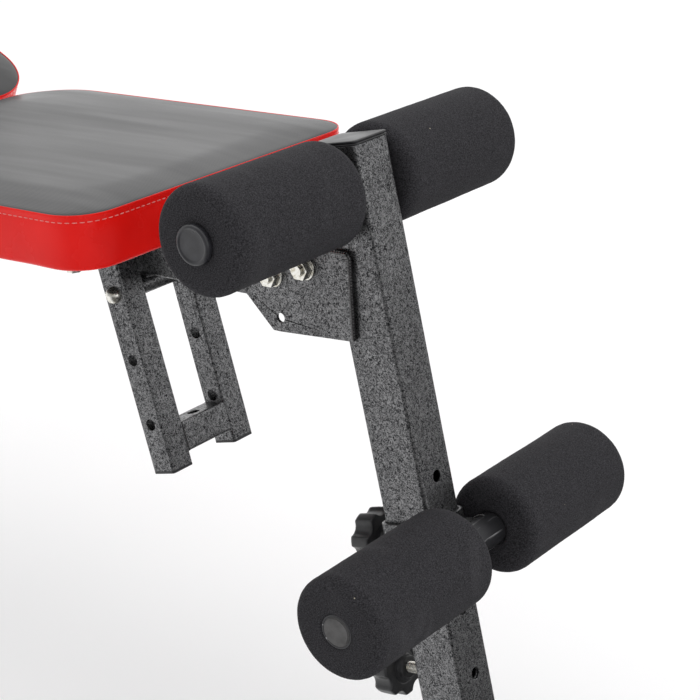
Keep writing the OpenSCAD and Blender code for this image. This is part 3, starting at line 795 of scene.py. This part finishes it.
# Side of a cushion from the top seam down and under: inset and height in mm, hold of the
# cloth there from 0 free to 1 fixed, and the colour of the strip that starts at this row.
RIM = [
    (2.6, 46.6, 0.5, BLACK), (1.7, 45.4, 0.9, BLACK), (1.2, 45.2, 0.9, RED), (0.6, 46.2, 0.9, RED),
    (0.0, 45.7, 0.9, RED), (-0.1, 44.2, 0.8, RED), (0.2, 42.2, 0.5, RED), (0.7, 40.0, 0.9, RED),
    (0.2, 37.8, 0.5, RED), (0.0, 33.5, 0, RED), (0.0, 28.0, 0, RED), (0.0, 22.0, 0, RED),
    (0.0, 16.0, 0, RED), (0.0, 10.5, 0.2, RED), (0.0, 6.0, 0.6, RED), (0.3, 3.2, 0.9, RED),
    (1.4, 1.7, 1, RED), (4.0, 0.6, 1, RED), (6.8, 0.2, 1, RED), (8.0, 0.6, 1, RED),
]
STITCH_ROW = 7
HEM_ROWS = slice(14, 17)
SIM_FRAMES = 20
MAX_SWELL = 4.5 * MM


def plan_point(u, v, size, inset):
    """Point of a rounded plan for u and v from -1 to 1; +X is the foot end."""
    length, width, r_foot, r_head = size
    radius = (r_foot if u > 0 else r_head) - inset
    half_x, half_y = length / 2 - inset, width / 2 - inset
    ring = max(abs(u), abs(v))
    if ring == 0:
        return Vector((-length / 2, 0, 0))
    x, y = abs(u / ring) * half_x, abs(v / ring) * half_y
    over_x, over_y = x - (half_x - radius), y - (half_y - radius)
    if over_x > 0 and over_y > 0:
        reach = math.hypot(over_x, over_y)
        x = half_x - radius + over_x / reach * radius
        y = half_y - radius + over_y / reach * radius
    return Vector((-length / 2 + math.copysign(x * ring, u), math.copysign(y * ring, v), 0))


def eased(k, count):
    """Grid line k of count, from -1 to 1, with the lines closer towards the ends."""
    t = 2 * k / count - 1
    return t * (1 + 0.15 * (1 - t * t))


def cushion_grid(bm, size, inset, height, hold, fixed):
    """Net of vertices over the cushion's plan; height and fixed are functions of the place from
    the middle, 0, to the edge, 1. Returns the vertices by line number, and notes their hold."""
    grid = {}
    down, across = grid_lines(size)
    for i in range(down + 1):
        for j in range(across + 1):
            u, v = eased(i, down), eased(j, across)
            ring = max(abs(u), abs(v))
            place = plan_point(u, v, size, inset)
            place.z = height(ring)
            grid[i, j] = bm.verts.new(place)
            hold[grid[i, j]] = fixed(ring)
    return grid


def grid_lines(size):
    """Number of cells along and across a cushion."""
    return 2 * round(size[0] / CELL / 2), 2 * round(size[1] / CELL / 2)


def cushion_mesh(size, crown):
    """Top, side rows, hem and a floor above the board, closed. Returns the bmesh, the rows of
    vertex numbers round the side, and the hold of each vertex."""
    down, across = grid_lines(size)
    bm = bmesh.new()
    hold = {}
    top_z, top_hold = RIM[0][1] * MM, RIM[0][2]
    grid = cushion_grid(
        bm, size, RIM[0][0] * MM, lambda ring: top_z + crown * (1 - ring**4),
        hold, lambda ring: top_hold if ring > 0.999 else 0,
    )
    walk = [(i, 0) for i in range(down)] + [(down, j) for j in range(across)]
    walk += [(i, across) for i in range(down, 0, -1)] + [(0, j) for j in range(across, 0, -1)]
    rows = [[grid[step] for step in walk]]
    for inset, height, fixed, _ in RIM[1:]:
        row = []
        for i, j in walk:
            place = plan_point(eased(i, down), eased(j, across), size, inset * MM)
            place.z = height * MM
            row.append(bm.verts.new(place))
            hold[row[-1]] = fixed
        rows.append(row)
    base = cushion_grid(bm, size, BASE_INSET, lambda ring: BOARD_T, hold, lambda ring: 1)
    rows.append([base[step] for step in walk])
    for i in range(down):
        for j in range(across):
            top = (grid[i, j], grid[i + 1, j], grid[i + 1, j + 1], grid[i, j + 1])
            bm.faces.new(top).material_index = BLACK
    for rim, a, b in zip(RIM, rows, rows[1:]):
        for i in range(len(a)):
            j = (i + 1) % len(a)
            bm.faces.new((a[i], a[j], b[j], b[i])).material_index = rim[3]
    for i in range(down):
        for j in range(across):
            bm.faces.new((base[i, j], base[i, j + 1], base[i + 1, j + 1], base[i + 1, j]))
    bm.verts.index_update()
    return bm, [[v.index for v in row] for row in rows], {v.index: h for v, h in hold.items()}



def inflate(piece, hold):
    """Swells the piece under pressure by cloth simulation; no point moves more than MAX_SWELL."""
    group = piece.vertex_groups.new(name="hold")
    for index, weight in hold.items():
        group.add([index], weight, "REPLACE")
    rest = [v.co.copy() for v in piece.data.vertices]
    cloth = piece.modifiers.new("cloth", "CLOTH")
    settings = cloth.settings
    settings.quality = 6
    settings.mass = 0.25
    settings.tension_stiffness = 18
    settings.compression_stiffness = 18
    settings.bending_stiffness = 2
    settings.vertex_group_mass = "hold"
    settings.use_pressure = True
    settings.uniform_pressure_force = 4
    settings.effector_weights.gravity = 0
    cloth.point_cache.frame_start = 1
    cloth.point_cache.frame_end = SIM_FRAMES
    for step in range(1, SIM_FRAMES + 1):
        bpy.context.scene.frame_set(step)
    shaped = piece.evaluated_get(bpy.context.evaluated_depsgraph_get()).to_mesh()
    moved = [v.co.copy() for v in shaped.vertices]
    piece.modifiers.remove(cloth)
    piece.vertex_groups.remove(group)
    bpy.context.scene.frame_set(1)
    for vertex, start, end in zip(piece.data.vertices, rest, moved):
        way = end - start
        vertex.co = start + way * min(1, MAX_SWELL / max(way.length, 1e-9))


def subdivided(piece):
    """Replaces the piece's mesh with one that is subdivided once."""
    piece.modifiers.new("smooth", "SUBSURF").levels = 1
    done = bpy.data.meshes.new_from_object(piece.evaluated_get(bpy.context.evaluated_depsgraph_get()))
    piece.modifiers.clear()
    piece.data = done
    for polygon in done.polygons:
        polygon.use_smooth = True


def settle_top(piece, size, seed):
    """Soft lengthwise waves of the foam under the top panel."""
    length, width = size[:2]
    below_top = 43 * MM
    for vertex in piece.data.vertices:
        place = vertex.co
        if place.z < below_top:
            continue
        edge = min(-place.x, place.x + length, width / 2 - abs(place.y)) / (30 * MM)
        wave = noise.noise(Vector((place.x * 2.5, place.y * 20, seed)))
        wave += 0.4 * noise.noise(Vector((place.x * 6, place.y * 46, seed + 4)))
        vertex.co.z += 1.1 * MM * wave * min(1, max(0, edge))


def ruffle_hem(piece, rows, seed):
    """The stapled hem's edge wanders a little up, down and outwards."""
    for row in rows[HEM_ROWS]:
        for index in row:
            vertex = piece.data.vertices[index]
            spot = Vector((vertex.co.x * 24, vertex.co.y * 24, seed))
            vertex.co.z += 0.8 * MM * noise.noise(spot)
            vertex.co.y += 0.7 * MM * noise.noise(spot * 1.7) * (1 if vertex.co.y > 0 else -1)


def stitches(name, path, normals, body, place):
    """Row of thread stitches lying on a closed path, in the axes of place."""
    bm = bmesh.new()
    stitch, gap = 4.2 * MM, 1.7 * MM
    loop = path + [path[0]]
    faces = normals + [normals[0]]
    runs = [0]
    for a, b in zip(loop, loop[1:]):
        runs.append(runs[-1] + (b - a).length)
    total = runs[-1]
    count = int(total / (stitch + gap))

    def along(distance):
        distance %= total
        k = next(i for i in range(len(runs) - 1) if runs[i + 1] >= distance)
        t = (distance - runs[k]) / max(runs[k + 1] - runs[k], 1e-9)
        return loop[k].lerp(loop[k + 1], t), faces[k].lerp(faces[k + 1], t).normalized()

    for n in range(count):
        start = n * total / count
        rings = []
        for share, thick in ((0, 0.12), (0.12, 0.34), (0.5, 0.42), (0.88, 0.34), (1, 0.12)):
            point, out = along(start + stitch * share)
            ahead = along(start + stitch * share + 0.5 * MM)[0]
            lift = 0.22 * MM * math.sin(math.pi * share)
            rings.append(round_ring(point + out * lift, (ahead - point).normalized(), thick * MM, 6))
        loft(bm, rings)
    bm.transform(place)
    finish_piece(bm, name, [THREAD], body)


def cushion(node, name, body, turn, corners, seed):
    """Vinyl cushion in the place of a CAD pad, with its seam, stitching and stapled hem."""
    low, high = local_box(node, turn)
    size = (high.x - low.x, high.y - low.y, corners[0] * MM, corners[1] * MM)
    place = turn.to_4x4()
    place.translation = turn @ Vector((high.x, 0, low.z))
    bm, rows, hold = cushion_mesh(size, 0.4 * MM)
    vinyls = [MATERIALS["red_vinyl"], MATERIALS["black_vinyl"]]
    piece = finish_piece(bm, name, vinyls, body)
    inflate(piece, hold)
    settle_top(piece, size, seed)
    ruffle_hem(piece, rows, seed)
    subdivided(piece)
    seam = rows[STITCH_ROW]
    points = [piece.data.vertices[i].co.copy() for i in seam]
    normals = [piece.data.vertices[i].normal.copy() for i in seam]
    piece.data.transform(place)
    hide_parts(node)
    stitches(name + "_stitches", points, normals, body, place)
    return size, place


def staple(bm, middle, axis):
    """Wire staple whose crown runs along axis, with both legs in the board."""
    half, wire = 5 * MM, 0.6 * MM
    crown = [round_ring(middle + axis * along - Z * 0.1 * MM, axis, wire / 2, 6) for along in (-half, half)]
    loft(bm, crown)
    for along in (-half, half):
        ends = [middle + axis * along * 0.98 + Z * z for z in (-0.2 * MM, 1 * MM)]
        loft(bm, [round_ring(end, Z, wire / 2, 6) for end in ends])


def staples(name, size, place, body):
    """Staples that hold the dust cover to the underside of the board."""
    bm = bmesh.new()
    inset, spacing, steps, below = 15 * MM, 38 * MM, 48, 0.3 * MM
    sides = [(-1 + 2 * i / steps, -1) for i in range(steps)]
    sides += [(1, v) for v, _ in sides]
    sides += [(-u, -v) for u, v in sides]
    path = [plan_point(u, v, size, inset) for u, v in sides]
    run = spacing
    for a, b in zip(path, path[1:] + path[:1]):
        run += (b - a).length
        if run >= spacing:
            run = 0
            staple(bm, a - Z * below, (b - a).normalized())
    bm.transform(place)
    finish_piece(bm, name, [MATERIALS["zinc"]], body)



seat_size, seat_place = cushion("seat_pad", "seat_cushion", "frame", RAIL, (36, 62), 1.0)
back_size, back_place = cushion("back_pad", "back_cushion", "backrest", BACK, (56, 56), 7.0)
staples("seat_staples", seat_size, seat_place, "frame")
staples("back_staples", back_size, back_place, "backrest")


# ---- floor, light and camera ----


def add_floor():
    half = 80
    corners = [(-half, -half, 0), (half, -half, 0), (half, half, 0), (-half, half, 0)]
    mesh = bpy.data.meshes.new("floor")
    mesh.from_pydata(corners, [], [(0, 1, 2, 3)])
    glow = {"Emission_Color": (1, 1, 1, 1), "Emission_Strength": 0.06}
    g = Graph("floor", (0.93, 0.93, 0.935), 0.9, **glow)
    g.colour(g.ramp(g.noise(3, 2), (0.2, (0.92, 0.92, 0.925)), (0.8, (0.94, 0.94, 0.945))))
    mesh.materials.append(g.material)
    floor = bpy.data.objects.new("floor", mesh)
    floor.visible_glossy = False
    bpy.context.scene.collection.objects.link(floor)


def add_overhead():
    """One large weak lamp above, for faint soft shadows."""
    light = bpy.data.lights.new("overhead", "AREA")
    light.shape = "DISK"
    light.size = 2.4
    light.energy = 8
    place, target = Vector((-0.6, -0.5, 3.4)), Vector((0.2, 0, 0.3))
    lamp = bpy.data.objects.new("overhead", light)
    lamp.location = place
    lamp.rotation_euler = (target - place).to_track_quat("-Z", "Y").to_euler()
    bpy.context.scene.collection.objects.link(lamp)


def add_world():
    """Soft sky, dimmer towards -Y. Below the horizon only reflections see it, brightest towards -X."""
    world = bpy.data.worlds.new("studio")
    world.use_nodes = True
    bpy.context.scene.world = world
    nodes, links = world.node_tree.nodes, world.node_tree.links
    nodes["Background"].inputs["Color"].default_value = (1, 1, 1, 1)
    split = nodes.new("ShaderNodeSeparateXYZ")
    links.new(nodes.new("ShaderNodeTexCoord").outputs["Generated"], split.inputs[0])

    def ranged(output, low, high, dark, bright):
        """Strength that eases from dark at low to bright at high."""
        node = nodes.new("ShaderNodeMapRange")
        node.interpolation_type = "SMOOTHSTEP"
        for socket, value in zip(node.inputs[1:5], (low, high, dark, bright)):
            socket.default_value = value
        links.new(output, node.inputs[0])
        return node.outputs[0]

    blend = nodes.new("ShaderNodeMix")
    links.new(ranged(split.outputs["Z"], -0.12, -0.01, 0, 1), blend.inputs[0])
    links.new(ranged(split.outputs["X"], 0.35, -0.45, 0.15, 1.1), blend.inputs[2])
    links.new(ranged(split.outputs["Y"], -0.9, 0.0, 0.45, 1.22), blend.inputs[3])
    links.new(blend.outputs[0], nodes["Background"].inputs["Strength"])


def add_camera():
    """Camera placed and turned by its angles and its offset from the upper roller axis."""
    azimuth, elevation, roll = (math.radians(a) for a in (36.64, 24.14, -0.8))
    flat = Vector((math.sin(azimuth), -math.cos(azimuth), 0))
    back = flat * math.cos(elevation) + Z * math.sin(elevation)
    right = (-back).cross(Z).normalized()
    up = right.cross(-back)
    side = right * math.cos(roll) + up * math.sin(roll)
    top = up * math.cos(roll) - right * math.sin(roll)
    camera = bpy.data.objects.new("camera", bpy.data.cameras.new("camera"))
    camera.data.lens = 96.7
    camera.data.shift_x = -0.067
    camera.data.shift_y = 0.121
    camera.data.sensor_width = 36
    camera.data.clip_end = 60
    place = Matrix((side, top, back)).transposed().to_4x4()
    place.translation = UPPER_AXIS + Vector((0.8744, -1.1187, 0.4212))
    camera.matrix_world = place
    bpy.context.scene.collection.objects.link(camera)
    bpy.context.scene.camera = camera


add_floor()
add_world()
add_overhead()
bpy.context.scene.view_settings.view_transform = "Standard"
add_camera()
